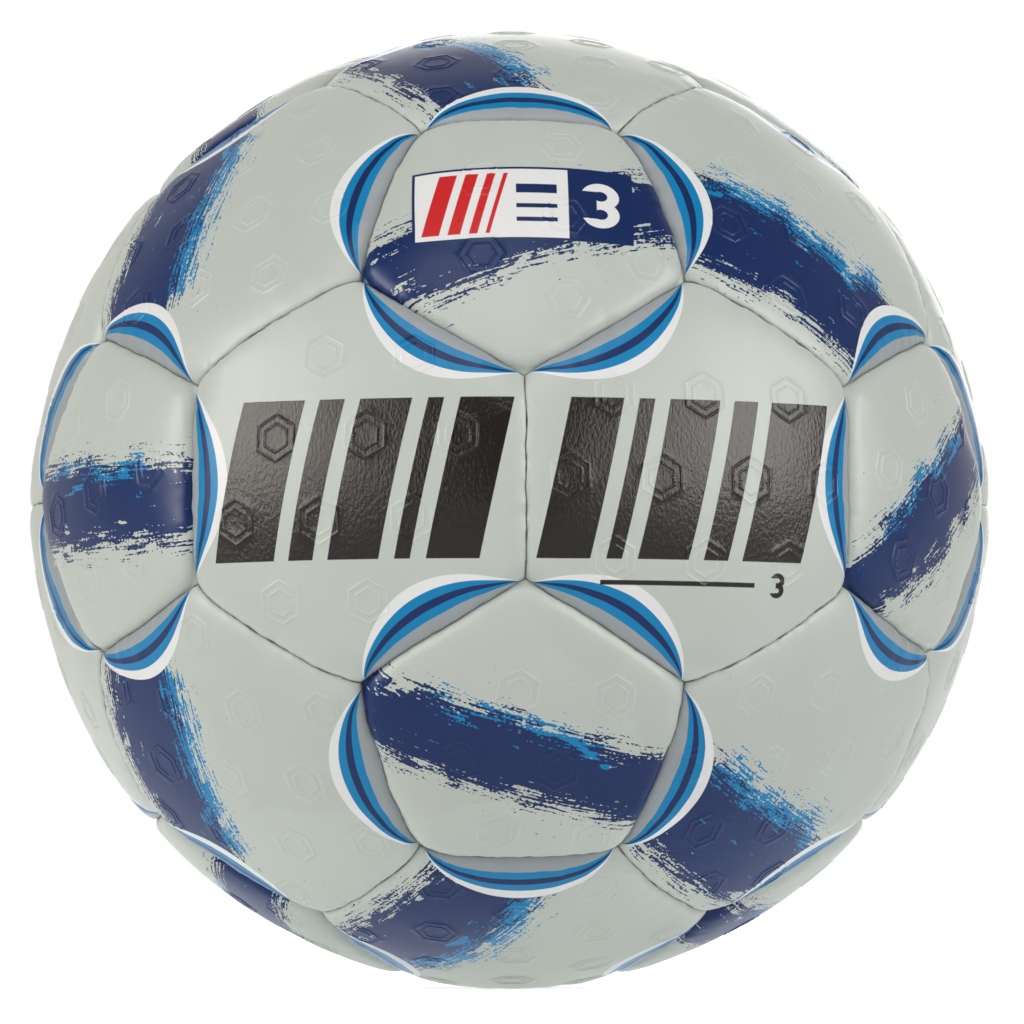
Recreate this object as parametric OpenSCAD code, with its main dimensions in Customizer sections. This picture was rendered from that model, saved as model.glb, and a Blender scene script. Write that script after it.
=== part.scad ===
// Hand-stitched handball of 20 six-sided and 12 five-sided panels, with its foam, lining,
// seam thread, bladder and inflation valve. The origin is the ball's centre.

/* [Ball] */
// Diameter over the crowns of the panels
ball_d = 188; // [150:0.5:200]
// Thickness of the outer skin of a panel
skin_t = 1.3; // [0.9:0.1:1.6]
// Radius of the rolled edge where a panel turns down into a seam
edge_roll = 2.2; // [1.6:0.1:2.4]
// Thickness of the foam under the skin
foam_t = 2.6; // [2.3:0.1:4]
// Thickness of the woven lining under the foam
lining_t = 0.8; // [0.4:0.1:1.2]
// Gap that the glue fills between two layers of a panel
glue_t = 0.1; // [0.05:0.01:0.2]

/* [Seams] */
// Width of the flat braided seam thread
thread_w = 0.9; // [0.6:0.1:1]
// Thickness of that thread
thread_t = 0.7; // [0.4:0.1:0.8]
// Number of stitches that cross each seam
stitches_per_seam = 7; // [4:1:9]
// Depth of the stitch holes below the crowns of the panels
stitch_depth = 3.3; // [3:0.1:3.5]
// Gap between the thread and what lies beside it
thread_gap = 0.15; // [0.05:0.05:0.2]
// Length left without thread at each end of a seam
seam_end = 3; // [2.6:0.1:5]

/* [Bladder] */
// Wall of the latex bladder
bladder_t = 1.2; // [0.8:0.1:2]
// Gap between the lining and the bladder
bladder_gap = 0.3; // [0.1:0.05:0.5]
// Diameter of the patch that thickens the bladder round the valve
patch_d = 36; // [28:1:44]
// Thickness of that patch
patch_t = 1.2; // [0.8:0.1:2]

/* [Valve] */
// Diameter of the rubber valve where it passes through the panel
valve_d = 9; // [8:0.5:12]
// Depth of the valve's face below the crown of its panel
valve_sink = 0.4; // [0.1:0.1:1]
// Length of the valve along its axis
valve_length = 26; // [24:1:34]
// Diameter of the valve's tail inside the bladder
valve_tail_d = 7.6; // [7:0.2:8]
// Diameter of the flange that is bonded under the patch
valve_flange_d = 24; // [18:1:27]
// Thickness of that flange
valve_flange_t = 1.2; // [0.8:0.1:2]
// Gap round the valve where it passes through the layers and the bladder
valve_gap = 0.15; // [0.05:0.05:0.3]
// Diameter of the removable valve core
core_d = 4.4; // [4:0.1:4.8]
// Length of the valve core
core_length = 20; // [18:1:22]
// Diameter of the collar that locks the core in the valve
core_collar_d = 5.8; // [5.2:0.1:6]
// Height of that collar
core_collar_h = 1.5; // [1:0.1:2]
// Depth of the collar below the valve's face
core_collar_depth = 9; // [6:0.5:12]
// Gap between the core and the valve
core_gap = 0.1; // [0.05:0.05:0.15]
// Diameter of the needle hole in the core
needle_d = 2.5; // [2:0.1:2.6]
// Depth of the needle hole, down to the lips that shut when the needle is out
needle_depth = 15; // [10:1:16]

/* [Hidden] */
$fn = 96;
// How far a cutting shape reaches past what it cuts
overrun = 1;
// How far the rolled edge starts inside the crown, so that the two faces cross and don't only touch
roll_bite = 0.02;
// Height at which the wedge behind a panel starts, as a share of the ball's radius
wedge_base_share = 0.5;
// Cosines between directions: above the first they share a seam, above the second they are the same
near_share = 0.6;
same_share = 0.99;
cover_colour = [0.77, 0.80, 0.775];
foam_colour = [0.93, 0.92, 0.86];
lining_colour = [0.88, 0.87, 0.82];
thread_colour = [0.16, 0.17, 0.18];
latex_colour = [0.83, 0.70, 0.50];
rubber_colour = [0.12, 0.12, 0.13];
core_colour = [0.2, 0.2, 0.21];

// Angles of the 32-panel form, for an edge length of one
phi = (1 + sqrt(5)) / 2;
corner_r = sqrt(1 + 9 * phi * phi) / 2;
hexagon_sides = 6;
pentagon_sides = 5;
function side_angle(sides) =
    let (to_corner = 1 / (2 * sin(180 / sides)), to_side = 1 / (2 * tan(180 / sides)))
    atan(to_side / sqrt(corner_r * corner_r - to_corner * to_corner));
hexagon_angle = side_angle(hexagon_sides);
pentagon_angle = side_angle(pentagon_sides);
seam_half_angle = asin(1 / (2 * corner_r));

// Radii of the layers, from the ball's centre
crown_r = ball_d / 2;
skin_in_r = crown_r - skin_t;
foam_out_r = skin_in_r - glue_t;
foam_in_r = foam_out_r - foam_t;
lining_out_r = foam_in_r - glue_t;
lining_in_r = lining_out_r - lining_t;
bladder_out_r = lining_in_r - bladder_gap;
bladder_in_r = bladder_out_r - bladder_t;
patch_out_r = bladder_in_r - glue_t;
patch_in_r = patch_out_r - patch_t;
flange_out_r = patch_in_r - glue_t;
flange_in_r = flange_out_r - valve_flange_t;

// Places of the thread beside a seam's plane, and of the layers' edges
stitch_r = crown_r - stitch_depth;
run_offset = skin_t + thread_gap + thread_t / 2;
foam_edge = run_offset + thread_t / 2 + thread_gap;
lining_edge = skin_t + glue_t;
stitch_hole_w = thread_t + 2 * thread_gap;
run_half_angle = seam_half_angle - 180 / PI * seam_end / stitch_r;
stitch_half_angle = run_half_angle - 180 / PI * thread_w / stitch_r;
roll_half_angle = seam_half_angle + 180 / PI * 2 * edge_roll / crown_r;

// Heights of the valve's parts along its axis, from the ball's centre
valve_face = crown_r - valve_sink;
valve_end = valve_face - valve_length;
core_end = valve_face - core_length;
collar_top = valve_face - core_collar_depth;

// Directions of the panels' centres
function unit(v) = v / norm(v);
signs = [-1, 1];
valve_axis = unit([1 / phi, phi, 0]);
pentagon_axes = [
    for (s = signs, t = signs)
        each [unit([0, s * phi, t]), unit([t, 0, s * phi]), unit([s * phi, t, 0])]
];
all_hexagon_axes = concat(
    [for (x = signs, y = signs, z = signs) unit([x, y, z])],
    [for (s = signs, t = signs)
        each [unit([s / phi, t * phi, 0]), unit([0, s / phi, t * phi]), unit([t * phi, 0, s / phi])]]
);
function near(a, b) = a * b > near_share && a * b < same_share;
plain_hexagon_axes = [for (a = all_hexagon_axes) if (a * valve_axis < same_share) a];

// Seams as [direction of the seam's middle, direction of the panel beyond it]
hexagon_seams = [
    for (i = [0 : len(all_hexagon_axes) - 1], j = [0 : len(all_hexagon_axes) - 1])
        let (a = all_hexagon_axes[i], b = all_hexagon_axes[j])
        if (i < j && near(a, b)) [unit(a + b), b]
];
pentagon_seams = [
    for (a = pentagon_axes, b = all_hexagon_axes)
        if (near(a, b)) [unit(sin(hexagon_angle) * a + sin(pentagon_angle) * b), b]
];

function two_digits(i) = i < 10 ? str("0", i) : str(i);
function hexagon_name(i) = str("hexagon_panel_", two_digits(i + 1));
function pentagon_name(i) = str("pentagon_panel_", two_digits(i + 1));
hexagon_names = [for (i = [0 : len(plain_hexagon_axes) - 1]) hexagon_name(i)];
pentagon_names = [for (i = [0 : len(pentagon_axes) - 1]) pentagon_name(i)];

// Turns +Z to axis, with +X on the side of the direction toward
module on_axis(axis, toward) {
    x = unit(toward - (toward * axis) * axis);
    y = cross(axis, x);
    multmatrix([
        [x.x, y.x, axis.x, 0],
        [x.y, y.y, axis.y, 0],
        [x.z, y.z, axis.z, 0],
        [0, 0, 0, 1]
    ]) children();
}

// Sphere about the ball's centre, turned so that its poles lie far from a panel on +Z
module globe(r) {
    rotate([90, 0, 0]) sphere(r = r);
}

// Side i of a panel on +Z: the seam's middle comes to +Z and the seam's plane to x = 0
module at_side(i, sides, angle) {
    rotate([0, 0, i * 360 / sides])
        rotate([0, angle, 0])
            children();
}

// Repeats a shape at each stitch along a seam, in the frame of its side
module at_stitches() {
    for (i = [0 : stitches_per_seam - 1])
        rotate([stitch_half_angle * (2 * i / (stitches_per_seam - 1) - 1), 0, 0])
            translate([0, 0, stitch_r])
                children();
}

// Block that reaches past the crown on +Z, cut one side after another to the planes that lie
// inset from a panel's seams. Sides 0 to i are cut.
module wedge(i, sides, angle, inset) {
    difference() {
        if (i == 0)
            translate([-crown_r, -crown_r, wedge_base_share * crown_r])
                cube([2 * crown_r, 2 * crown_r, crown_r]);
        else
            wedge(i - 1, sides, angle, inset);
        at_side(i, sides, angle)
            translate([-inset, -2 * crown_r, -2 * crown_r])
                cube(4 * crown_r);
    }
}

// One layer of a panel between two radii, with its edges inset from the seams
module layer(sides, angle, out_r, in_r, inset) {
    intersection() {
        difference() {
            globe(out_r);
            globe(in_r);
        }
        wedge(sides - 1, sides, angle, inset);
    }
}

// What the rolled edge takes away along one seam: the corner outside a round tube
module rolled_edge() {
    tube_r = sqrt(pow(crown_r - edge_roll + roll_bite, 2) - edge_roll * edge_roll);
    reach = crown_r + overrun;
    rotate([0, 90, 0])
        rotate([0, 0, 180 - roll_half_angle])
            rotate_extrude(angle = 2 * roll_half_angle)
                difference() {
                    polygon([
                        [tube_r, overrun],
                        [tube_r, -edge_roll],
                        [reach, -edge_roll * reach / tube_r],
                        [reach, overrun]
                    ]);
                    translate([tube_r, -edge_roll]) circle(r = edge_roll);
                }
}

// Full thickness of a panel, with its edges rolled one after another. Sides 0 to i are rolled.
module rolled_block(i, sides, angle) {
    difference() {
        if (i == 0)
            layer(sides, angle, crown_r, lining_in_r, 0);
        else
            rolled_block(i - 1, sides, angle);
        at_side(i, sides, angle) rolled_edge();
    }
}

// Outer skin of a panel: a domed face with its edges turned in and pierced along the seams
module skin(sides, angle) {
    difference() {
        rolled_block(sides - 1, sides, angle);
        intersection() {
            globe(skin_in_r);
            wedge(sides - 1, sides, angle, skin_t);
        }
        for (i = [0 : sides - 1])
            at_side(i, sides, angle)
                at_stitches()
                    cube([2 * (skin_t + overrun), stitch_hole_w, stitch_hole_w], center = true);
    }
}

module valve_hole() {
    cylinder(d = valve_d + 2 * valve_gap, h = crown_r + overrun);
}

// A neighbouring panel across a seam sets how each panel is turned about its axis
function neighbour(axis) = [for (b = all_hexagon_axes) if (near(axis, b)) b][0];

module on_hexagon(axis) {
    on_axis(axis, neighbour(axis)) children();
}

module hexagon_panel(axis) {
    color(cover_colour) on_hexagon(axis) skin(hexagon_sides, hexagon_angle);
}

module valve_panel() {
    color(cover_colour)
        on_hexagon(valve_axis)
            difference() {
                skin(hexagon_sides, hexagon_angle);
                valve_hole();
            }
}

module pentagon_panel(axis) {
    color(cover_colour)
        on_axis(axis, neighbour(axis)) skin(pentagon_sides, pentagon_angle);
}

// The same layer under every six-sided panel, with the valve's hole in one
module hexagon_layers(out_r, in_r, inset) {
    for (axis = plain_hexagon_axes)
        on_hexagon(axis) layer(hexagon_sides, hexagon_angle, out_r, in_r, inset);
    on_hexagon(valve_axis)
        difference() {
            layer(hexagon_sides, hexagon_angle, out_r, in_r, inset);
            valve_hole();
        }
}

module pentagon_layers(out_r, in_r, inset) {
    for (axis = pentagon_axes)
        on_axis(axis, neighbour(axis))
            layer(pentagon_sides, pentagon_angle, out_r, in_r, inset);
}

module hexagon_foams() {
    color(foam_colour) hexagon_layers(foam_out_r, foam_in_r, foam_edge);
}

module pentagon_foams() {
    color(foam_colour) pentagon_layers(foam_out_r, foam_in_r, foam_edge);
}

module hexagon_linings() {
    color(lining_colour) hexagon_layers(lining_out_r, lining_in_r, lining_edge);
}

module pentagon_linings() {
    color(lining_colour) pentagon_layers(lining_out_r, lining_in_r, lining_edge);
}

// Thread of one seam: a run on each side of the two turned-in edges, and the stitches across
module seam_thread(seam) {
    on_axis(seam[0], seam[1]) {
        for (side = signs)
            translate([side * run_offset, 0, 0])
                rotate([0, -90, 0])
                    rotate([0, 0, -run_half_angle])
                        rotate_extrude(angle = 2 * run_half_angle)
                            translate([stitch_r, 0])
                                square([thread_w, thread_t], center = true);
        at_stitches()
            rotate([0, 90, 0])
                cylinder(d = thread_t, h = 2 * run_offset, center = true);
    }
}

module hexagon_seam_threads() {
    color(thread_colour) for (seam = hexagon_seams) seam_thread(seam);
}

module pentagon_seam_threads() {
    color(thread_colour) for (seam = pentagon_seams) seam_thread(seam);
}

module bladder() {
    color(latex_colour)
        on_hexagon(valve_axis)
            difference() {
                globe(bladder_out_r);
                globe(bladder_in_r);
                valve_hole();
            }
}

// Round piece of a spherical shell, centred on the valve's axis
module cap_shell(d, out_r, in_r) {
    intersection() {
        difference() {
            globe(out_r);
            globe(in_r);
        }
        cylinder(d = d, h = crown_r);
    }
}

module valve_patch() {
    color(rubber_colour)
        on_hexagon(valve_axis)
            difference() {
                cap_shell(patch_d, patch_out_r, patch_in_r);
                valve_hole();
            }
}

// Body of the core or, with a gap round it and a reach above it, the space for it in the housing
module core_body(gap, above) {
    translate([0, 0, core_end - gap])
        cylinder(d = core_d + 2 * gap, h = core_length + gap + above);
    translate([0, 0, collar_top - core_collar_h - gap])
        cylinder(d = core_collar_d + 2 * gap, h = core_collar_h + 2 * gap);
}

module valve_housing() {
    color(rubber_colour)
        on_hexagon(valve_axis)
            difference() {
                union() {
                    translate([0, 0, flange_in_r])
                        cylinder(d = valve_d, h = valve_face - flange_in_r);
                    translate([0, 0, valve_end])
                        cylinder(d = valve_tail_d, h = valve_face - valve_end - overrun);
                    cap_shell(valve_flange_d, flange_out_r, flange_in_r);
                }
                core_body(core_gap, overrun);
            }
}

module valve_core() {
    color(core_colour)
        on_hexagon(valve_axis)
            difference() {
                core_body(0, 0);
                translate([0, 0, valve_face - needle_depth])
                    cylinder(d = needle_d, h = needle_depth + overrun);
            }
}

for (i = [0 : len(plain_hexagon_axes) - 1])
    hexagon_panel(plain_hexagon_axes[i]);
valve_panel();
for (i = [0 : len(pentagon_axes) - 1])
    pentagon_panel(pentagon_axes[i]);
hexagon_foams();
pentagon_foams();
hexagon_linings();
pentagon_linings();
hexagon_seam_threads();
pentagon_seam_threads();
bladder();
valve_patch();
valve_housing();
valve_core();
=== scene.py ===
"""Looks of a hand-stitched match handball: 32 domed panels with their printed and embossed
finish, the seams between them, and the layers, bladder and valve inside."""
import math

import bpy
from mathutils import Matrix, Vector
from mathutils.geometry import delaunay_2d_cdt


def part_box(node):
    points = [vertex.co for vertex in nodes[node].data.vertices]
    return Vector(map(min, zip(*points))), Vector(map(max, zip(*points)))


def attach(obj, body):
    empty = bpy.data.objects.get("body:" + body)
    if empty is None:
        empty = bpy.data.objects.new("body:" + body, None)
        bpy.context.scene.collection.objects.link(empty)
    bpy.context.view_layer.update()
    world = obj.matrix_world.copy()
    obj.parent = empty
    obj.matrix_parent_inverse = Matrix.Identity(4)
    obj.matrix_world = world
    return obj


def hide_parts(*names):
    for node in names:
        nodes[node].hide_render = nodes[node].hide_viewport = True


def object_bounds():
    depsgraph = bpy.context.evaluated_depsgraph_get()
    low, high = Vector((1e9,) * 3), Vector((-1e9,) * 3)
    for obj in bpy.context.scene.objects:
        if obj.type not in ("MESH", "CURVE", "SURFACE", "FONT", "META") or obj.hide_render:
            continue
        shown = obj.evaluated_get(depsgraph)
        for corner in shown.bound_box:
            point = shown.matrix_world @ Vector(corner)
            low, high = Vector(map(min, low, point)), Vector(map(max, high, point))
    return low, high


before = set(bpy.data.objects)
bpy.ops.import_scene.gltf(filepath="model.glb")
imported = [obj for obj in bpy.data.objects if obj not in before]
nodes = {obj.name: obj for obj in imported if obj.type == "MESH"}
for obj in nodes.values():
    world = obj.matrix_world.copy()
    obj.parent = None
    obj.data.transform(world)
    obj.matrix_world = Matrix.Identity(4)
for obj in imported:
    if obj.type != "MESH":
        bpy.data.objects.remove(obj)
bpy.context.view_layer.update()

mm = 0.001
root = "root"

# The ball's form
crown_r = max(v.co.length for v in nodes["hexagon_panel_01"].data.vertices)
golden = (1 + math.sqrt(5)) / 2
signs = (-1, 1)
hexagon, pentagon = 6, 5

# A panel's skin: its thickness, its turned-in edges and the gap between neighbours
skin_t = 1.3 * mm
flange_depth = 4.8 * mm
seam_gap = 0.05 * mm

# How a skin rolls down into its seams, by the kind of panel, and how the seams round the
# five-sided panels lie in dips, sink at their corners and bow out
roll_width = {hexagon: 0.95 * mm, pentagon: 2.2 * mm}
roll_depth = {hexagon: 0.36 * mm, pentagon: 1.2 * mm}
corner_round = {hexagon: 0.4 * mm, pentagon: 1.6 * mm}
valley_depth = {hexagon: 0.6 * mm, pentagon: 0.0}
valley_width = 1.6 * mm
dip_depth = 1.1 * mm
dip_width = 3.0 * mm
corner_depth = 1.0 * mm
corner_width = 3.5 * mm
bow_height = 0.7 * mm
bow_reach = 6 * mm

# How the blown-up ball departs from a true sphere: low ridges along the other seams, sunk
# crowns, slight lumps, seams that stray to the side, and puckers along them
ridge_height = 0.75 * mm
ridge_width = 13 * mm
crown_sink = 0.45 * mm
uneven_height = 0.16 * mm
uneven_size = 22 * mm
inner_calm_share = 0.75
seam_wander = 0.5 * mm
wander_size = 9 * mm
wander_reach = 5 * mm
pucker_height = 0.5 * mm
pucker_length = 2.6 * mm
pucker_reach = 3.5 * mm
pucker_stretch = 5

# Small raised marks all over the cover, each of one six-sided outline in another
mark_across = 7.6 * mm
mark_inner_share = 0.62
mark_pitch = 18 * mm
mark_line = 0.26 * mm
mark_height = 0.15 * mm
mark_margin = 5.6 * mm
mark_shifts = ((0.0, 0.0), (0.5, 0.5), (0.25, -0.5))

# The valve where it shows
valve_axis = Vector((1 / golden, golden, 0)).normalized()
valve_hole_r = 4.65 * mm

# Mesh density. Rows of points lie these distances from a seam, in millimetres, and from a
# mark's line, in widths of the line.
edge_spacing = 0.65 * mm
field_spacing = 1.6 * mm
mark_spacing = 0.5 * mm
inner_spacing = 6 * mm
layer_spacing = 2.4 * mm
edge_rows = (0, 0.08, 0.18, 0.3, 0.45, 0.65, 0.9, 1.25, 1.7, 2.3, 3, 3.8, 4.8, 6)
edge_row_spread = 0.25
mark_rows = (-1.6, -1, -0.62, -0.3, 0, 0.3, 0.62, 1, 1.6)
hole_rows = edge_rows[1:-3]
hole_points = 56
wall_steps = 3

# The camera, as the photograph was taken
picture_px = 1024
ball_centre_px = (509.4, 509.6)
ball_radius_px = 478.6
camera_yaw = math.radians(1.8)
camera_rise = math.radians(-3.78)
camera_distance = 12 * crown_r
sensor_width = 36
near_clip = 0.01

# Colours of the cover and its inks
bare = (0.515, 0.555, 0.51)
white_ink = (0.78, 0.78, 0.77)
grey_ink = (0.33, 0.36, 0.375)
azure_ink = (0.001, 0.205, 0.45)
navy_ink = (0.004, 0.020, 0.098)
black_ink = (0.013, 0.010, 0.009)
red_ink = (0.60, 0.016, 0.018)


# Numbers and vectors that vary over a surface

class Field:
    """The output of a node, with arithmetic that adds the next node."""

    def __init__(self, tree, socket):
        self.tree = tree
        self.socket = socket

    def math(self, operation, *others):
        return maths(self.tree, operation, self, *others)

    def __add__(self, other):
        return self.math("ADD", other)

    def __sub__(self, other):
        return self.math("SUBTRACT", other)

    def __rsub__(self, other):
        return maths(self.tree, "SUBTRACT", other, self)

    def __mul__(self, other):
        return self.math("MULTIPLY", other)

    def __truediv__(self, other):
        return self.math("DIVIDE", other)

    def __rtruediv__(self, other):
        return maths(self.tree, "DIVIDE", other, self)

    def __neg__(self):
        return self.math("MULTIPLY", -1)

    def size(self):
        return self.math("ABSOLUTE")

    def at_least(self, other):
        return self.math("MAXIMUM", other)

    def at_most(self, other):
        return self.math("MINIMUM", other)

    __radd__ = __add__
    __rmul__ = __mul__


def feed(tree, socket, value):
    """Puts a field or a constant into an input."""
    if isinstance(value, Field):
        tree.links.new(value.socket, socket)
    else:
        socket.default_value = value


def maths(tree, operation, *values):
    node = tree.nodes.new("ShaderNodeMath")
    node.operation = operation
    for socket, value in zip(node.inputs, values):
        feed(tree, socket, value)
    return Field(tree, node.outputs[0])


def exponent(field):
    """e to the power of a field."""
    return field.math("EXPONENT")


def ramp(field, start, end):
    """0 before start and 1 after end, with a smooth rise between them."""
    node = field.tree.nodes.new("ShaderNodeMapRange")
    node.interpolation_type = "SMOOTHSTEP"
    feed(field.tree, node.inputs["Value"], field)
    feed(field.tree, node.inputs["From Min"], start)
    feed(field.tree, node.inputs["From Max"], end)
    return Field(field.tree, node.outputs[0])


def vector_maths(operation, first, *others, scale=None):
    tree = first.tree
    node = tree.nodes.new("ShaderNodeVectorMath")
    node.operation = operation
    for socket, value in zip(node.inputs, (first, *others)):
        feed(tree, socket, value)
    if scale is not None:
        feed(tree, node.inputs["Scale"], scale)
    return Field(tree, node.outputs["Value" if operation == "DOT_PRODUCT" else "Vector"])


def join_xyz(x, y, z):
    node = x.tree.nodes.new("ShaderNodeCombineXYZ")
    for socket, value in zip(node.inputs, (x, y, z)):
        feed(x.tree, socket, value)
    return Field(x.tree, node.outputs[0])


def split_xyz(vector):
    node = vector.tree.nodes.new("ShaderNodeSeparateXYZ")
    feed(vector.tree, node.inputs[0], vector)
    return [Field(vector.tree, output) for output in node.outputs]


def distance_from_middle(x, y):
    return (x * x + y * y).math("SQRT")


def noise(vector, size, detail=2.0, colour=False):
    """Cloudy noise about a half, with lumps of that size."""
    node = vector.tree.nodes.new("ShaderNodeTexNoise")
    node.inputs["Scale"].default_value = 1 / size
    node.inputs["Detail"].default_value = detail
    feed(vector.tree, node.inputs["Vector"], vector)
    return Field(vector.tree, node.outputs["Color" if colour else 0])


# Directions of the panels

def turned(x, y, z):
    """The three directions that a turn about (1, 1, 1) makes of one."""
    return [Vector(v).normalized() for v in ((x, y, z), (z, x, y), (y, z, x))]


pentagon_axes = [a for s in signs for t in signs for a in turned(0, s * golden, t)]
hexagon_axes = [Vector((x, y, z)).normalized() for x in signs for y in signs for z in signs]
hexagon_axes += [a for s in signs for t in signs for a in turned(s / golden, t * golden, 0)]


def side_angle(sides):
    """Angle from a panel's centre to the middle of a seam."""
    corner_r = math.sqrt(1 + 9 * golden * golden) / 2
    to_corner = 1 / (2 * math.sin(math.pi / sides))
    to_side = 1 / (2 * math.tan(math.pi / sides))
    return math.atan(to_side / math.sqrt(corner_r ** 2 - to_corner ** 2))


def node_axis(node, axes):
    """The direction in which a CAD panel lies."""
    low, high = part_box(node)
    middle = (low + high) / 2
    return max(axes, key=middle.dot)


def neighbours(axis):
    """Directions of the six-sided panels that share a seam with the panel on axis."""
    near_share, same_share = 0.6, 0.999
    return [a for a in hexagon_axes if near_share < a.dot(axis) < same_share]


def uppermost(axis):
    """The neighbour that sets how a panel lies: the highest, and of two the one on the right."""
    return max(neighbours(axis), key=lambda a: (round(a.z, 6), a.x))


# The flat cut of a panel. Its points lie on the plane that touches the ball at the panel's
# centre, in ball radii, seen from the ball's centre: there every seam is a straight line.

def side_line(sides, side):
    turn = 2 * math.pi * side / sides
    return math.cos(turn), math.sin(turn)


def side_reach(sides, inset=0.0):
    """How far a seam, or a line inset from it, lies from the panel's centre."""
    return math.tan(side_angle(sides) - inset / crown_r)


def corner_reach(sides):
    return side_reach(sides) / math.cos(math.pi / sides)


def half_side(sides, reach):
    return reach * math.tan(math.pi / sides)


def point_count(sides, reach, spacing):
    """How many points a side takes on an outline at that reach."""
    return max(2, round(2 * half_side(sides, reach) * crown_r / spacing))


def outline(sides, reach, count, centre=(0, 0)):
    """Points round a regular outline whose sides lie at that reach, count on each side."""
    half = half_side(sides, reach)
    points = []
    for side in range(sides):
        c, s = side_line(sides, side)
        for i in range(count):
            along = half * (2 * i / count - 1)
            points.append((centre[0] + reach * c - along * s, centre[1] + reach * s + along * c))
    return points


def seam_distances(sides, x, y):
    """How far a point lies from each seam, over the ball's surface."""
    length = math.sqrt(x * x + y * y + 1)
    angle = side_angle(sides)
    found = []
    for side in range(sides):
        c, s = side_line(sides, side)
        height = (math.sin(angle) - math.cos(angle) * (x * c + y * s)) / length
        found.append(crown_r * math.asin(height))
    return found


def grid_on_panel(sides, pitch, margin, clear, shift=(0, 0)):
    """Points of a triangular grid on a panel, a margin from its seams and clear of its middle."""
    step = pitch / crown_r
    row_h = step * math.sqrt(3) / 2
    reach = corner_reach(sides)
    rows = math.ceil(reach / row_h) + 1
    points = []
    for j in range(-rows, rows + 1):
        for i in range(-rows - 1, rows + 2):
            x = (i + (j % 2) / 2 + shift[0]) * step
            y = (j + shift[1]) * row_h
            far = math.hypot(x, y)
            if far > reach or far * crown_r < clear:
                continue
            if min(seam_distances(sides, x, y)) > margin:
                points.append((x, y))
    return points


def mark_offset(x, y, centre):
    """How far a point lies from the nearest line of a mark."""
    from_x, from_y = x - centre[0], y - centre[1]
    turns = [math.pi * i / 3 for i in range(3)]
    reach = crown_r * max(abs(from_x * math.cos(t) + from_y * math.sin(t)) for t in turns)
    outer = mark_across / 2
    return min(abs(reach - outer), abs(reach - outer * mark_inner_share))


def circle(r, count):
    turns = [2 * math.pi * i / count for i in range(count)]
    return [(r * math.cos(t) / crown_r, r * math.sin(t) / crown_r) for t in turns]


def filled(rings, points):
    """Triangles between an outer ring and, where there is one, an inner ring, through points."""
    just_inside, merge_reach = 0.999, 1e-9
    ring_points = [Vector(p) for ring in rings for p in ring]
    outer = list(range(len(rings[0])))
    everything = ring_points + [Vector(p) for p in points]
    verts, _, faces, origins, _, _ = delaunay_2d_cdt(everything, [], [outer], 1, merge_reach)
    if len(rings) > 1:
        hole = min(Vector(p).length for p in rings[1]) * just_inside
        faces = [f for f in faces if sum((verts[i] for i in f), Vector((0, 0))).length / 3 > hole]
    place = {origin: i for i, found in enumerate(origins) for origin in found}
    ring_places, start = [], 0
    for ring in rings:
        ring_places.append([place[start + i] for i in range(len(ring))])
        start += len(ring)
    return [tuple(v) for v in verts], faces, ring_places


class Cut:
    """A flat panel in the making: points, their depth below the outer face, and faces."""

    def __init__(self):
        self.points = []
        self.depths = []
        self.faces = []

    def add_points(self, points, depth):
        """Gives the places of the points."""
        start = len(self.points)
        self.points += points
        self.depths += [depth] * len(points)
        return list(range(start, start + len(points)))

    def add_sheet(self, rings, points, depth, outward):
        """A filled sheet. Gives the places of its rings' points."""
        verts, faces, ring_places = filled(rings, points)
        places = self.add_points(verts, depth)
        for face in faces:
            face = [places[i] for i in face]
            self.faces.append(face if outward else face[::-1])
        return [[places[i] for i in ring] for ring in ring_places]

    def add_wall(self, upper, lower, turn=1):
        """Quads between two rings with as many points. turn says which way they face."""
        count = len(upper)
        for i in range(count):
            j = (i + 1) % count
            face = [upper[i], lower[i], lower[j], upper[j]]
            self.faces.append(face if turn > 0 else face[::-1])


def outer_points(sides, centres, hole_r):
    """Points of the outer face inside its rings: rows along the seams, rows along the
    raised marks, rows round the valve's hole, and an even field between them."""
    points = []
    for row in edge_rows[1:]:
        reach = side_reach(sides, seam_gap + row * mm)
        spacing = edge_spacing * (1 + row * edge_row_spread)
        points += outline(sides, reach, point_count(sides, reach, spacing))
    for centre in centres:
        for across in (mark_across, mark_across * mark_inner_share):
            for row in mark_rows:
                reach = (across / 2 + row * mark_line) / crown_r
                count = point_count(hexagon, reach, mark_spacing)
                points += outline(hexagon, reach, count, centre)
    hole_reach = 0
    if hole_r:
        for row in hole_rows:
            points += circle(hole_r + row * mm, hole_points)
        hole_reach = hole_r + hole_rows[-1] * mm + field_spacing / 2
    margin = edge_rows[-1] * mm + field_spacing / 2
    mark_reach = mark_rows[-1] * mark_line + field_spacing / 4
    for x, y in grid_on_panel(sides, field_spacing, margin, hole_reach):
        if all(mark_offset(x, y, centre) > mark_reach for centre in centres):
            points.append((x, y))
    return points


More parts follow.
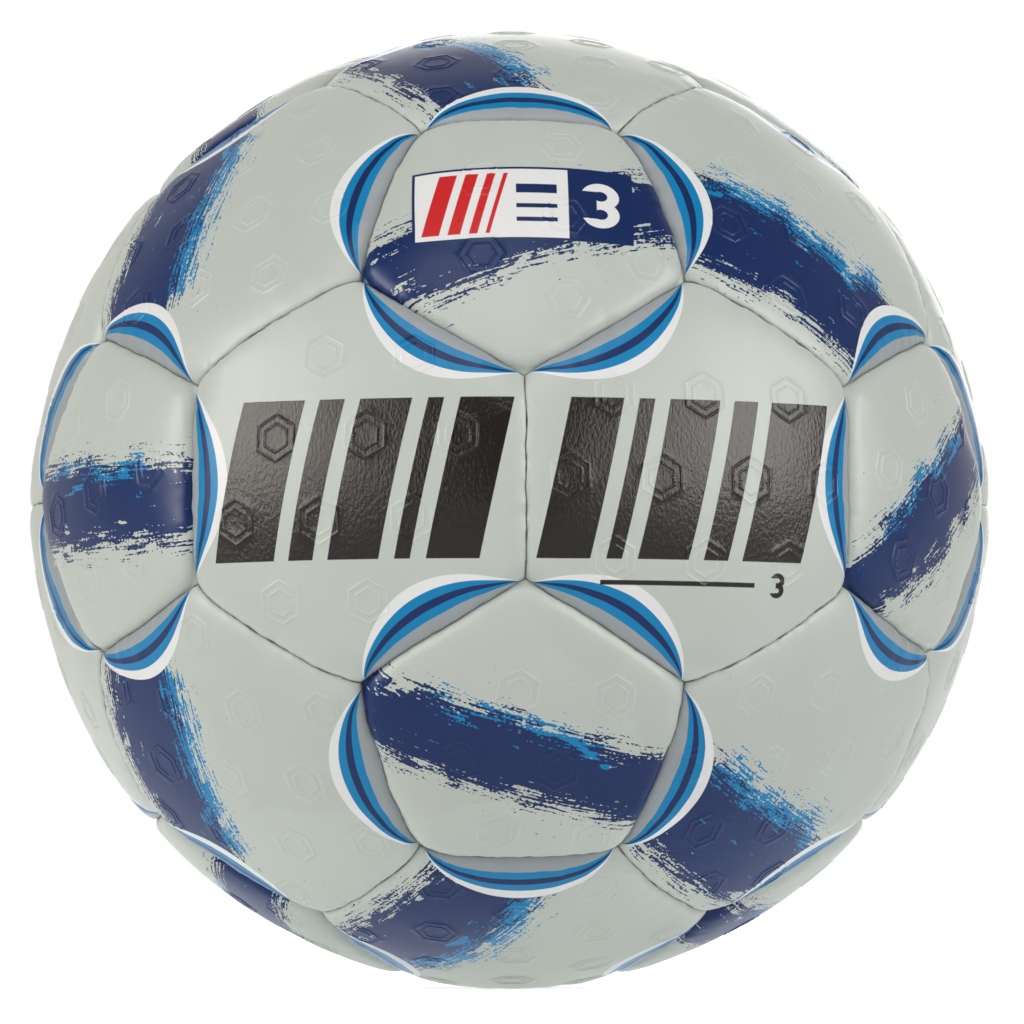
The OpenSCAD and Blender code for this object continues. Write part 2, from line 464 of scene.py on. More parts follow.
def skin_mesh(name, sides, shift, hole_r=0.0):
    """The closed shell of a skin, flat: outer face, turned-in edges and inner face."""
    cut = Cut()
    count = point_count(sides, side_reach(sides), edge_spacing)
    rim = outline(sides, side_reach(sides, seam_gap), count)
    fold = outline(sides, side_reach(sides, skin_t), count)
    hole = [circle(hole_r, hole_points)] if hole_r else []
    clear_of_hole = hole_r + mark_across if hole_r else 0
    centres = grid_on_panel(sides, mark_pitch, mark_margin, clear_of_hole, shift)
    top = cut.add_sheet([rim] + hole, outer_points(sides, centres, hole_r), 0, True)
    inner_field = grid_on_panel(sides, inner_spacing, skin_t * 2, hole_r + skin_t)
    bottom = cut.add_sheet([fold] + hole, inner_field, skin_t, False)
    upper = top[0]
    for step in range(1, wall_steps + 1):
        lower = cut.add_points(rim, skin_t + (flange_depth - skin_t) * step / wall_steps)
        cut.add_wall(upper, lower)
        upper = lower
    lower = cut.add_points(fold, flange_depth)
    cut.add_wall(upper, lower)
    cut.add_wall(lower, bottom[0])
    if hole:
        cut.add_wall(top[1], bottom[1], -1)
    return stored_mesh(name, sides, cut, centres, hole_r)


def corner_distance(sides, x, y):
    reach = corner_reach(sides)
    turns = [(2 * i + 1) * math.pi / sides for i in range(sides)]
    corners = [(reach * math.cos(t), reach * math.sin(t)) for t in turns]
    return crown_r * min(math.hypot(x - corner_x, y - corner_y) for corner_x, corner_y in corners)


def ridge_distance(sides, x, y):
    """How far a point lies from the nearest seam between two six-sided panels. On a six-sided
    panel these are sides 0, 2 and 4, and on a five-sided one they start at its corners."""
    if sides == pentagon:
        return corner_distance(sides, x, y)
    reach = side_reach(sides)
    half = half_side(sides, reach)
    found = []
    for side in (0, 2, 4):
        c, s = side_line(sides, side)
        beyond = max(0, abs(y * c - x * s) - half)
        found.append(math.hypot(reach - (x * c + y * s), beyond))
    return crown_r * min(found)


def pentagon_sides(sides):
    """The sides of a panel where it meets a five-sided one, or is one."""
    return range(sides) if sides == pentagon else (1, 3, 5)


def soft_least(distances, softness):
    """The least of some distances, smaller where several are small."""
    return -softness * math.log(sum(math.exp(-d / softness) for d in distances))


def mark_share(x, y, centres):
    """How high a point lies on a raised mark."""
    offset = min((mark_offset(x, y, centre) for centre in centres), default=mark_line)
    return math.cos(math.pi / 2 * min(1, offset / mark_line)) ** 2


def bowed(sides, x, y):
    """A point moved with the seams of the five-sided panels, which bow out from them."""
    distances = seam_distances(sides, x, y)
    half = half_side(sides, side_reach(sides))
    bow = (1 if sides == pentagon else -1) * bow_height / crown_r
    shift_x, shift_y = 0, 0
    for side in pentagon_sides(sides):
        c, s = side_line(sides, side)
        share = (y * c - x * s) / half
        fade = max(0, 1 - share * share) * math.exp(-distances[side] / bow_reach)
        shift_x += c * fade
        shift_y += s * fade
    return x + bow * shift_x, y + bow * shift_y, 0


def point_values(sides, x, y, centres, hole_r):
    """What the doming and the finish need to know of a point."""
    distances = seam_distances(sides, x, y)
    first, second = sorted(distances)[:2]
    nearest = distances.index(first)
    c, s = side_line(sides, nearest)
    from_hole = math.hypot(x, y) * crown_r - hole_r + seam_gap
    edge = min(first, from_hole) if hole_r else first
    return {
        "edge": edge,
        "along": (y * c - x * s) * crown_r + nearest,
        "pucker": math.exp(-first / pucker_reach) * min(1, (second - first) / pucker_reach),
        "mark": mark_share(x, y, centres),
        "ridge": ridge_distance(sides, x, y),
        "soft": min(edge, soft_least(distances, corner_round[sides])),
        "dip": min(distances[i] for i in pentagon_sides(sides)),
        "corner": corner_distance(sides, x, y),
    }


def add_attribute(mesh, name, values):
    layer = mesh.attributes.new(name, "FLOAT", "POINT")
    layer.data.foreach_set("value", values)


def stored_mesh(name, sides, cut, centres, hole_r):
    """A flat cut as a mesh, with the values of its points and its print in millimetres."""
    mesh = bpy.data.meshes.new(name)
    mesh.from_pydata([bowed(sides, x, y) for x, y in cut.points], [], cut.faces)
    add_attribute(mesh, "depth", cut.depths)
    values = [point_values(sides, x, y, centres, hole_r) for x, y in cut.points]
    for key in values[0]:
        add_attribute(mesh, key, [row[key] for row in values])
    layer = mesh.uv_layers.new(name="panel")
    scale = crown_r / mm
    prints = [place * scale for loop in mesh.loops for place in cut.points[loop.vertex_index]]
    layer.data.foreach_set("uv", prints)
    return mesh


# Doming a flat cut onto the ball: the sizes it takes, by the kind of panel where they differ
form_sizes = {
    "Roll width": roll_width, "Roll depth": roll_depth,
    "Valley width": valley_width, "Valley depth": valley_depth,
    "Dip width": dip_width, "Dip depth": dip_depth,
    "Corner width": corner_width, "Corner depth": corner_depth,
    "Ridge width": ridge_width, "Ridge height": ridge_height, "Crown sink": crown_sink,
    "Mark height": mark_height, "Pucker height": pucker_height,
}


def new_tree(name, sockets):
    """A geometry tree with a Geometry input and the named inputs."""
    tree = bpy.data.node_groups.new(name, "GeometryNodeTree")
    tree.interface.new_socket("Geometry", in_out="INPUT", socket_type="NodeSocketGeometry")
    tree.interface.new_socket("Geometry", in_out="OUTPUT", socket_type="NodeSocketGeometry")
    for label, kind in sockets.items():
        tree.interface.new_socket(label, in_out="INPUT", socket_type="NodeSocket" + kind)
    entry = tree.nodes.new("NodeGroupInput")
    return tree, {socket.name: Field(tree, socket) for socket in entry.outputs if socket.name}


def new_node(tree, kind, **inputs):
    """A node that makes geometry from its inputs. Gives what it makes."""
    node = tree.nodes.new("GeometryNode" + kind)
    for label, value in inputs.items():
        feed(tree, node.inputs[label.replace("_", " ")], value)
    return Field(tree, node.outputs[0])


def finish_tree(tree, geometry, material):
    """Realize Instances and Set Material, and then the tree's output."""
    smooth = new_node(tree, "SetShadeSmooth", Geometry=geometry)
    realized = new_node(tree, "RealizeInstances", Geometry=smooth)
    painted = new_node(tree, "SetMaterial", Geometry=realized, Material=material)
    leave = tree.nodes.new("NodeGroupOutput")
    feed(tree, leave.inputs[0], painted)


def place_in(tree):
    return Field(tree, tree.nodes.new("GeometryNodeInputPosition").outputs[0])


def stored(tree, name):
    node = tree.nodes.new("GeometryNodeInputNamedAttribute")
    node.data_type = "FLOAT"
    node.inputs["Name"].default_value = name
    return Field(tree, node.outputs["Attribute"])


def wander(on_ball, edge):
    """How far the hand-sewn seams stray to the side at a point on the ball."""
    drift = noise(on_ball, wander_size, 1.0, colour=True)
    drift = vector_maths("SUBTRACT", drift, (0.5, 0.5, 0.5))
    return vector_maths("SCALE", drift, scale=exponent(-edge / wander_reach) * (2 * seam_wander))


def doming_tree():
    sockets = {"Ball radius": "Float", "Axis": "Vector", "Toward": "Vector", "Panel": "Float"}
    sockets.update({name: "Float" for name in form_sizes})
    tree, given = new_tree("doming", {**sockets, "Cover": "Material"})
    x, y, _ = split_xyz(place_in(tree))
    axis, toward = given["Axis"], given["Toward"]
    along_axis = vector_maths("SCALE", axis, scale=vector_maths("DOT_PRODUCT", axis, toward))
    right = vector_maths("NORMALIZE", vector_maths("SUBTRACT", toward, along_axis))
    up = vector_maths("CROSS_PRODUCT", axis, right)
    out_right, out_up = vector_maths("SCALE", right, scale=x), vector_maths("SCALE", up, scale=y)
    across = vector_maths("ADD", out_right, out_up)
    direction = vector_maths("NORMALIZE", vector_maths("ADD", across, axis))
    on_ball = vector_maths("SCALE", direction, scale=given["Ball radius"])

    def hollow(where, kind):
        """Deepest where the stored distance is nought."""
        return given[kind + " depth"] * exponent(-stored(tree, where) / given[kind + " width"])

    edge, depth = stored(tree, "edge"), stored(tree, "depth")
    top = 1 - ramp(depth, 0.0, skin_t / 2)
    pulled = (1 - depth / flange_depth).at_least(0.0)
    roll_in = (1 - stored(tree, "soft") / given["Roll width"]).at_least(0.0).at_most(1.0)
    roll = given["Roll depth"] * (1 - (1 - roll_in * roll_in).math("SQRT"))
    sunk = roll + hollow("edge", "Valley") + hollow("dip", "Dip") + hollow("corner", "Corner")
    ridge_share = stored(tree, "ridge") / given["Ridge width"]
    ridge = given["Ridge height"] * exponent(-ridge_share * ridge_share)
    folds_at = join_xyz(stored(tree, "along"), edge / pucker_stretch, given["Panel"])
    folds = (noise(folds_at, pucker_length, 1.0) - 0.5) * given["Pucker height"] * 2
    lumps = (noise(on_ball, uneven_size, 1.0) - 0.5) * (2 * uneven_height)
    calm = 1 - depth * (inner_calm_share / flange_depth)
    swell = (ridge + lumps - given["Crown sink"]) * calm
    relief = folds * stored(tree, "pucker") + given["Mark height"] * stored(tree, "mark")
    height = given["Ball radius"] - depth + swell - pulled * sunk + top * relief
    risen = vector_maths("SCALE", direction, scale=height)
    placed = vector_maths("ADD", risen, wander(on_ball, edge))

    keep = tree.nodes.new("GeometryNodeStoreNamedAttribute")
    keep.data_type = "FLOAT"
    keep.domain = "POINT"
    keep.inputs["Name"].default_value = "number"
    feed(tree, keep.inputs["Geometry"], given["Geometry"])
    feed(tree, keep.inputs["Value"], given["Panel"])
    kept = Field(tree, keep.outputs[0])
    moved = new_node(tree, "SetPosition", Geometry=kept, Position=placed)
    finish_tree(tree, moved, given["Cover"])
    return tree


def linked(name, data):
    """A new object in the scene."""
    thing = bpy.data.objects.new(name, data)
    bpy.context.scene.collection.objects.link(thing)
    return thing


def grown(name, mesh, tree, values):
    """A plain mesh object: what a tree with these input values makes of a mesh."""
    seedling = linked(name + "_seed", mesh)
    modifier = seedling.modifiers.new("form", "NODES")
    modifier.node_group = tree
    for item in tree.interface.items_tree:
        if item.in_out == "INPUT" and item.name in values:
            modifier[item.identifier] = values[item.name]
    bpy.context.view_layer.update()
    evaluated = seedling.evaluated_get(bpy.context.evaluated_depsgraph_get())
    result = bpy.data.meshes.new_from_object(evaluated)
    bpy.data.objects.remove(seedling)
    result.name = name
    return linked(name, result)


def hand_over(piece, node):
    """The piece takes a CAD node's place."""
    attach(piece, root)
    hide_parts(node)


# Materials

def new_material(name):
    material = bpy.data.materials.new(name)
    material.use_nodes = True
    tree = material.node_tree
    return material, tree, tree.nodes["Principled BSDF"]


def object_place(tree):
    """The point on the object, in metres."""
    return Field(tree, tree.nodes.new("ShaderNodeTexCoord").outputs["Object"])


def panel_place(tree):
    """The point on the panel's flat cut, in millimetres from its centre."""
    node = tree.nodes.new("ShaderNodeUVMap")
    node.uv_map = "panel"
    x, y, _ = split_xyz(Field(tree, node.outputs[0]))
    return x, y


def attribute(tree, name):
    node = tree.nodes.new("ShaderNodeAttribute")
    node.attribute_name = name
    return Field(tree, node.outputs["Fac"])


def mix_colour(share, first, second):
    """first where share is 0 and second where it is 1."""
    tree = share.tree
    node = tree.nodes.new("ShaderNodeMix")
    node.data_type = "RGBA"
    feed(tree, node.inputs["Factor"], share)
    for socket, value in ((node.inputs[6], first), (node.inputs[7], second)):
        feed(tree, socket, value if isinstance(value, Field) else (*value, 1))
    return Field(tree, node.outputs[2])


def band(field, low, high, soft=0.08):
    """1 between two values of a field, with soft ends."""
    return ramp(field, low - soft, low + soft) * (1 - ramp(field, high - soft, high + soft))


def bump(height, depth):
    """The normal of a surface with a height that is given as a share of a depth."""
    node = height.tree.nodes.new("ShaderNodeBump")
    node.inputs["Distance"].default_value = depth
    node.inputs["Strength"].default_value = 1.0
    feed(height.tree, node.inputs["Height"], height)
    return Field(height.tree, node.outputs[0])


def finish_surface(tree, shader, colour, roughness, normal):
    feed(tree, shader.inputs["Base Color"], colour)
    feed(tree, shader.inputs["Roughness"], roughness)
    feed(tree, shader.inputs["Normal"], normal)


def turned_place(u, v, turn):
    """Distance across and along a line whose normal is turned from the panel's x."""
    c, s = math.cos(turn), math.sin(turn)
    return u * c + v * s, v * c - u * s


# Tapered ribbons along the seams with five-sided panels, in millimetres: a grey field, an azure,
# a navy and an azure ribbon, and a white border towards the panel's middle
crescent_inks = (grey_ink, azure_ink, navy_ink, azure_ink, white_ink)
crescent_end_shares = (0.30, 0.47, 0.62, 0.79, 1.0)
crescent_depth = 11.5
crescent_length_share = 0.94
crescent_least_share = 0.001
crescent_soft = 0.06


def crescents(u, v, colour):
    reach = side_reach(hexagon) * crown_r / mm
    half = half_side(hexagon, reach) * crescent_length_share
    printed = u * 0.0
    for turn in (math.pi / 3, math.pi, math.pi * 5 / 3):
        across, along = turned_place(u, v, turn)
        share = along / half
        depth = (1 - share * share).at_least(crescent_least_share) * crescent_depth
        place = (reach - across) / depth
        soft = crescent_soft / depth
        for end, ink in reversed(list(zip(crescent_end_shares, crescent_inks))):
            mask = 1 - ramp(place, end - soft, end + soft)
            colour = mix_colour(mask, colour, ink)
            printed = printed.at_least(mask)
    return colour, printed


# Dry-brush strokes, in millimetres. Streaks and flecks make them rough, a wave moves their
# edges, worn patches show the cover, and each noise has a factor that makes panels differ.
streak_w, streak_l, streak_force, streak_factor = 0.5, 8.0, 3.0, 7.3
fleck_size, fleck_stretch, fleck_force, fleck_factor = 0.5, 0.7, 1.8, 3.1
fleck_rarity, fleck_reach = -1.0, 1.8
wave_l, wave_w, wave_height = 11, 40, 7
worn_w, worn_l, worn_force, worn_factor = 3, 7, 0.75, 5.7
worn_from, worn_to = 0.6, 0.72
fray_force, ragged_force, ragged_l = 1.9, 2.2, 9.0
brush_soft = 0.05


def brush_mask(across, along, number, solid, frayed, start, end):
    """Dry-brush stroke along a line. It is solid but for scratches to one distance from the
    line, frays out over streaks to the next, throws flecks beyond, and is ragged at its ends."""
    streaks_at = join_xyz(across / streak_w, along / streak_l, number * streak_factor)
    streaks = (noise(streaks_at, 1.0, 2.5) - 0.5) * streak_force
    flecks_at = join_xyz(across, along * fleck_stretch, number * fleck_factor)
    flecks = (noise(flecks_at, fleck_size, 1.0) - 0.5) * fleck_force
    wave = (noise(join_xyz(along / wave_l, number, across / wave_w), 1.0, 1.0) - 0.5) * wave_height
    worn_at = join_xyz(across / worn_w, along / worn_l, number * worn_factor)
    worn = ramp(noise(worn_at, 1.0, 1.0), worn_from, worn_to) * worn_force
    out = (across.size() + wave - solid) / (frayed - solid)
    ragged = ramp(start - along, 0.0, ragged_l) + ramp(along - end, 0.0, ragged_l)
    inked = (1.0 - out * fray_force - ragged * ragged_force).at_most(1.0) - worn
    inked = inked.at_least(fleck_rarity) - (out - fleck_reach).at_least(0.0)
    return ramp(streaks + flecks + inked, -brush_soft, brush_soft)


# The coated face of the cover: mottled colour, a painted highlight beside the seams between
# six-sided panels and on the raised marks, painted shade in patches down in the seams, uncoated
# turned-in edges, and fine grain
mottled, mottle_size, mottle_from, mottle_share = (0.43, 0.455, 0.41), 16 * mm, 0.42, 0.5
# Painted highlight: a paler strip just off the seams between six-sided panels
seam_highlight, seam_highlight_share = (0.66, 0.68, 0.66), 0.25
seam_highlight_from, seam_highlight_to, hexagon_seam_reach = 0.4 * mm, 0.9 * mm, 3 * mm
# Painted highlight on the raised marks
mark_highlight, mark_highlight_share = (0.68, 0.72, 0.67), 0.35
# Painted shade: darker patches down in the seams, darkest between six-sided panels
seam_shade, seam_shade_from, seam_shade_to, seam_shade_size = (0.06, 0.062, 0.06), 0.05 * mm, 0.35 * mm, 3 * mm
seam_shade_share, seam_shade_more_share = 0.1, 0.6
uncoated, uncoated_from, uncoated_to = (0.62, 0.60, 0.55), 0.6 * mm, 1.1 * mm
coat_roughness, patch_roughness, patch_size = 0.36, 0.05, 9 * mm
patch_from, patch_to = 0.35, 0.65
print_smoother, gloss_smoother = 0.04, 0.13
coat_specular = 0.25
grain_size, grain_depth, grain_share = 0.5 * mm, 0.035 * mm, 0.3
wrinkle_stretch, wrinkle_share = 0.55, 3.0


def bare_leather(tree):
    mottle = (noise(object_place(tree), mottle_size, 3.0) - mottle_from).at_least(0.0)
    return mix_colour(mottle * mottle_share, bare, mottled)


def coat(tree, shader, colour, printed, gloss):
    """The coated face round a print, which gloss makes smoother and more wrinkled."""
    place = object_place(tree)
    edge, depth = attribute(tree, "edge"), attribute(tree, "depth")
    between_hexagons = exponent(-attribute(tree, "ridge") / hexagon_seam_reach)
    # Painted highlight: paler just off the seams between six-sided panels, where no print covers
    # them
    pale = ramp(edge, seam_highlight_from, seam_highlight_to) * between_hexagons * (1 - printed)
    colour = mix_colour(pale * seam_highlight_share, colour, seam_highlight)
    # Painted highlight: the raised marks are paler where no print covers them
    raised = attribute(tree, "mark") * (1 - printed)
    colour = mix_colour(raised * mark_highlight_share, colour, mark_highlight)
    # Painted shade: darker patches down in the seams, darkest between six-sided panels
    patches = ramp(noise(place, seam_shade_size, 2.0), patch_from, patch_to)
    seam_shade_mask = (1 - ramp(edge, seam_shade_from, seam_shade_to)) * patches
    colour = mix_colour(seam_shade_mask * (seam_shade_share + between_hexagons * seam_shade_more_share), colour, seam_shade)
    colour = mix_colour(ramp(depth, uncoated_from, uncoated_to), colour, uncoated)
    uneven = (noise(place, patch_size, 2.0) - 0.5) * patch_roughness
    roughness = coat_roughness + uneven - printed * print_smoother - gloss * gloss_smoother
    x, y, z = split_xyz(place)
    wrinkles = noise(join_xyz(x, y, z * wrinkle_stretch), grain_size, 3.0)
    height = noise(place, grain_size, 2.0) * grain_share + wrinkles * gloss * wrinkle_share
    finish_surface(tree, shader, colour, roughness, bump(height, grain_depth))
    shader.inputs["Specular IOR Level"].default_value = coat_specular


def cover(name, ribbons, brushes=(), extra=None):
    """Finish of a panel, with ribbons along its seams where it is six-sided, brush strokes
    under them, and an extra print over the rest."""
    material, tree, shader = new_material(name)
    u, v = panel_place(tree)
    number = attribute(tree, "number")
    colour = bare_leather(tree)
    printed = gloss = u * 0.0
    for ink, turn, offset, *extent in brushes:
        across, along = turned_place(u, v, turn)
        mask = brush_mask(across - offset, along, number, *extent)
        colour = mix_colour(mask, colour, ink)
        printed = printed.at_least(mask)
    if ribbons:
        colour, ribbon = crescents(u, v, colour)
        printed = printed.at_least(ribbon)
    if extra:
        colour, mask, gloss = extra(u, v, colour)
        printed = printed.at_least(mask)
    coat(tree, shader, colour, printed, gloss)
    return material


def around_ball(tree):
    """Distance round the ball from the front, and up it from its middle, in millimetres."""
    x, y, z = split_xyz(object_place(tree))
    round_it = x.math("ARCTAN2", -y) * (crown_r / mm)
    up_it = z.math("ARCTAN2", distance_from_middle(x, y)) * (crown_r / mm)
    return round_it, up_it


# A round figure 3: two rings that share a stroke, open on the left, as shares of a ring
lobe_middle_share, lobe_width_share, lobe_soft = 1.05, 1.12, 0.04
open_shares, hook_shares = (-0.24, -0.16), (0.30, 0.38)


def numeral_three(x, y, height, stroke):
    """A figure 3 with its lower left corner at the origin."""
    lobe_r = (height + stroke) / 4
    marks = []
    for middle, side in ((height - lobe_r, 1), (lobe_r, -1)):
        right, up = (x - lobe_r * lobe_middle_share) / lobe_width_share, y - middle
        ring = band(distance_from_middle(right, up), lobe_r - stroke, lobe_r, lobe_soft)
        kept = ramp(right, *(share * lobe_r for share in open_shares))
        hook = ramp(up * side, *(share * lobe_r for share in hook_shares))
        marks.append(ring * kept.at_least(hook))
    return marks[0].at_least(marks[1])


# Row of slanted bars across the two front panels, in millimetres round the ball and up it,
# and under it a rule with the size figure
bar_widths = (13, 5, 10, 3, 10)
bar_gap = 3
bar_row_start = 5.2
bar_low, bar_high = -15.0, 14.5
bar_slant = 0.22
rule_left, rule_right, rule_low, rule_high = 14, 45, -19.8, -18.9
figure_left, figure_low, figure_height, figure_stroke = 48.5, -21.6, 4.6, 0.95


def bar_row(u, v, colour):
    """Glossy black ink."""
    round_it, up_it = around_ball(u.tree)
    lean = round_it - (up_it - (bar_low + bar_high) / 2) * bar_slant
    ink = u * 0.0
    for side in signs:
        start = bar_row_start
        for width in reversed(bar_widths):
            ink = ink.at_least(band(lean * side, start, start + width))
            start += width + bar_gap
    ink = ink * band(up_it, bar_low, bar_high)
    rule = band(round_it, rule_left, rule_right) * band(up_it, rule_low, rule_high)
    figure = numeral_three(round_it - figure_left, up_it - figure_low, figure_height, figure_stroke)
    ink = ink.at_least(figure).at_least(rule)
    return mix_colour(ink, colour, black_ink), ink, ink


# Size badge, in millimetres from its middle: blocks of ink, each over those before it, as ink,
# left, right, low, high and slant, and then the size figure
badge_rise = 3.0
badge_w, badge_h, badge_rim = 20.8, 8.8, 0.55
white_w, white_h = badge_w - badge_rim, badge_h - badge_rim
red_h, red_slant = 7.2, 0.25
rule_start, rule_end = -1.2, 6.4
badge_blocks = (
    (navy_ink, -badge_w, badge_w, -badge_h, badge_h, 0),
    (white_ink, -white_w, white_w, -white_h, white_h, 0),
    (red_ink, -17.3, -13.9, -red_h, red_h, red_slant),
    (red_ink, -12.3, -9.9, -red_h, red_h, red_slant),
    (red_ink, -8.3, -6.7, -red_h, red_h, red_slant),
    (red_ink, -5.2, -4.4, -red_h, red_h, red_slant),
    (navy_ink, 8.5, badge_w, -badge_h, badge_h, 0),
    (navy_ink, rule_start, rule_end, 2.2, 4.4, 0),
    (navy_ink, rule_start, rule_end, -1.4, -0.4, 0),
    (navy_ink, rule_start, rule_end, -4.6, -3.6, 0),
)
badge_figure_left, badge_figure_low = 11.2, -5.4
badge_figure_height, badge_figure_stroke = 10.8, 2.0
badge_gloss = 0.3


def badge(u, v, colour):
    right, up = -v, u - badge_rise
    for ink, start, end, low, high, slant in badge_blocks:
        block = band(right - up * slant, start, end) * band(up, low, high)
        colour = mix_colour(block, colour, ink)
    figure = numeral_three(right - badge_figure_left, up - badge_figure_low,
                           badge_figure_height, badge_figure_stroke)
    colour = mix_colour(figure, colour, white_ink)
    field = band(right, -badge_w, badge_w) * band(up, -badge_h, badge_h)
    return colour, field, field * badge_gloss


ring_in, ring_out = 6.6, 7.5


def valve_ring(u, v, colour):
    """Printed ring round the valve's hole."""
    ring = band(distance_from_middle(u, v), ring_in, ring_out)
    return mix_colour(ring, colour, navy_ink), ring, ring * 0.0


# Inner pieces
dark_share, lump_roughness = 0.85, 0.15
weave_pitch, weave_depth, weave_roughness, weave_smoother = 0.7, 0.15 * mm, 0.9, 0.1


def moulded(name, colour, roughness, size, depth):
    """Plain moulded, foamed or spun finish."""
    material, tree, shader = new_material(name)
    lumps = noise(object_place(tree), size, 3.0)
    darker = tuple(c * dark_share for c in colour)
    mixed = mix_colour(ramp(lumps, patch_from, patch_to), colour, darker)
    roughness = roughness + (lumps - 0.5) * lump_roughness
    finish_surface(tree, shader, mixed, roughness, bump(lumps, depth))
    return material


def woven(name, colour, shade):
    """Plain weave on the panel's flat cut."""
    material, tree, shader = new_material(name)
    waves = [(place * (math.pi / weave_pitch)).math("SINE") for place in panel_place(tree)]
    over = (waves[0] * waves[1]).size()
    roughness = weave_roughness - over * weave_smoother
    mixed = mix_colour(over, shade, colour)
    finish_surface(tree, shader, mixed, roughness, bump(over, weave_depth))
    return material


# Camera, floor and light

floor_size = 8
floor_colour, floor_roughness, floor_specular = 0.86, 0.9, 0.1
floor_glow = 0.74
# Painted reflection: how brightly the floor glows in the ball's gloss, twice as bright right under
# the ball
floor_shine = 0.45
under_ball_from, under_ball_to = 0.015, 0.045


def aim(thing, target):
    thing.rotation_euler = (target - thing.location).to_track_quat("-Z", "Y").to_euler()


def make_camera():
    data = bpy.data.cameras.new("camera")
    camera = linked("camera", data)
    level = math.cos(camera_rise) * camera_distance
    camera.location = (-math.sin(camera_yaw) * level, -math.cos(camera_yaw) * level,
                       math.sin(camera_rise) * camera_distance)
    aim(camera, Vector((0, 0, 0)))
    lens_px = ball_radius_px * math.sqrt((camera_distance / crown_r) ** 2 - 1)
    data.sensor_width = sensor_width
    data.lens = lens_px / picture_px * sensor_width
    data.shift_x = (picture_px / 2 - ball_centre_px[0]) / picture_px
    data.shift_y = (ball_centre_px[1] - picture_px / 2) / picture_px
    data.clip_start = near_clip
    bpy.context.scene.camera = camera


def rays(tree):
    """1 for a ray that shows the place itself, and 1 for a ray that shows its reflection."""
    path = tree.nodes.new("ShaderNodeLightPath")
    kinds = ("Is Camera Ray", "Is Transmission Ray", "Is Glossy Ray")
    camera, through, reflected = (Field(tree, path.outputs[kind]) for kind in kinds)
    return camera.at_least(through), reflected


def make_floor(level):
    bpy.ops.mesh.primitive_plane_add(size=floor_size, location=(0, 0, level))
    floor = bpy.context.object
    floor.name = "floor"
    material, tree, shader = new_material("floor_paper")
    shader.inputs["Base Color"].default_value = (floor_colour, floor_colour, floor_colour, 1)
    shader.inputs["Roughness"].default_value = floor_roughness
    shader.inputs["Specular IOR Level"].default_value = floor_specular
    seen, reflected = rays(tree)
    x, y, _ = split_xyz(object_place(tree))
    under_ball = 1 - ramp(distance_from_middle(x, y), under_ball_from, under_ball_to)
    # Painted reflection: the floor glows for reflected rays, twice as bright right under the ball,
    # which brightens the bottom of the ball in its gloss
    shine = reflected * (floor_shine + under_ball * floor_shine)
    shader.inputs["Emission Color"].default_value = (1, 1, 1, 1)
    feed(tree, shader.inputs["Emission Strength"], (seen * floor_glow).at_least(shine))
    floor.data.materials.append(material)
    floor.visible_shadow = False


# What the cover reflects: a dim room, a brighter back, and two big screens beside the camera
plain_level = 0.27
room_level = 0.3
behind_level = 0.5
behind_from, behind_to = 0.1, 0.9
screen_places = ((-0.82, -0.52, 0.16), (0.76, -0.62, 0.15))
screen_level = 6.5
screen_from, screen_to = 0.82, 0.98
screen_tint = (1.0, 0.955, 0.89)


def make_world():
    world = bpy.data.worlds.new("studio")
    bpy.context.scene.world = world
    world.use_nodes = True
    tree = world.node_tree
    background = tree.nodes["Background"]
    seen, shine = rays(tree)
    feed(tree, background.inputs["Color"], mix_colour(shine, (1, 1, 1), screen_tint))
    direction = Field(tree, tree.nodes.new("ShaderNodeTexCoord").outputs["Generated"])
    behind = ramp(split_xyz(direction)[1], behind_from, behind_to)
    reflected = room_level + behind * behind_level
    for place in screen_places:
        towards = vector_maths("DOT_PRODUCT", direction, Vector(place).normalized())
        reflected = reflected + ramp(towards, screen_from, screen_to) * screen_level
    strength = seen.at_least(shine * reflected).at_least(plain_level)
    feed(tree, background.inputs["Strength"], strength)


def make_light(name, place, size, power, colour=(1, 1, 1)):
    data = bpy.data.lights.new(name, "AREA")
    data.shape = "DISK"
    data.size = size
    data.energy = power
    data.color = colour
    light = linked(name, data)
    light.location = place
    aim(light, Vector((0, 0, 0)))


make_camera()
make_world()
warm, cool = (1.0, 0.955, 0.90), (0.95, 1.0, 0.97)
make_light("front_softbox", place=(-0.15, -1.36, 1.44), size=1.2, power=12.8)
make_light("left_softbox", place=(-1.6, -0.55, 0.5), size=1.0, power=11.2, colour=warm)
make_light("right_softbox", place=(1.4, -0.8, 0.45), size=1.0, power=9.4)
make_light("back_softbox", place=(0.3, 1.7, 0.5), size=1.2, power=9)
make_light("table_softbox", place=(0, -0.1, -1.3), size=1.4, power=10.6, colour=cool)
bpy.context.scene.view_settings.view_transform = "Standard"

# Finishes of the panels. A brush stroke is its ink, the turn of its line, how far it lies from
# the middle, how far it is solid and how far it frays out, and its two ends, in millimetres.

side_sash = math.radians(18)
pentagon_brushes = (
    (azure_ink, side_sash, 0.5, 1.0, 9.0, -14, 17),
    (navy_ink, side_sash, -3.0, 2.6, 12.5, -40, 40),
)
hexagon_stroke = math.radians(120)
hexagon_brushes = (
    (azure_ink, hexagon_stroke, 15.0, 3.0, 15.0, -20, 18),
    (navy_ink, hexagon_stroke, 20.0, 5.0, 16.0, -26, 24),
)
covers = {
    "bare": cover("cover_ribbons", True),
    "brushed": cover("cover_ribbons_and_brush", True, hexagon_brushes),
    "barred": cover("cover_ribbons_and_bars", True, (), bar_row),
    "valve": cover("cover_ribbons_and_valve_ring", True, (), valve_ring),
    "sash": cover("cover_sash", False, pentagon_brushes),
    "badge": cover("cover_sash_and_badge", False, pentagon_brushes, badge),
}

# The 32 panels

